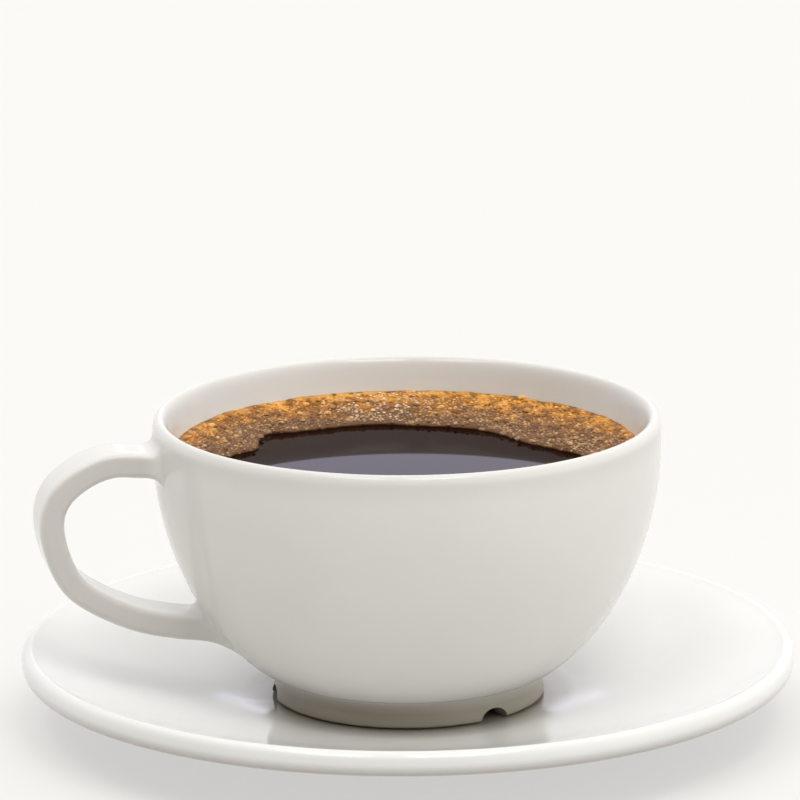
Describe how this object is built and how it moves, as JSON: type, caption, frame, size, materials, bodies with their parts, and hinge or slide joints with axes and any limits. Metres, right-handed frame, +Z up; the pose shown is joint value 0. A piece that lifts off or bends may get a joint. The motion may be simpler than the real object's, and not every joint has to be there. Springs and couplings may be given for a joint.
{
  "type": "cup of coffee",
  "caption": "Wide porcelain cup of black coffee with a ring of foam round the wall, standing on its matching saucer.",
  "frame": {"origin": "under the middle of the saucer, at the height of the table", "axes": "+Z up along the axis of the saucer and the bowl; the handle points to -X and 12 degrees towards -Y, the side the picture looks from"},
  "size_m": [0.155, 0.155, 0.0635],
  "materials": {
    "saucer_porcelain": "gloss",
    "cup_porcelain": "gloss",
    "coffee": "polished",
    "foam": "satin"
  },
  "bodies": {
    "root": {"saucer": "saucer_porcelain", "cup": "cup_porcelain", "coffee": "coffee", "foam": "foam"}
  },
  "joints": []
}
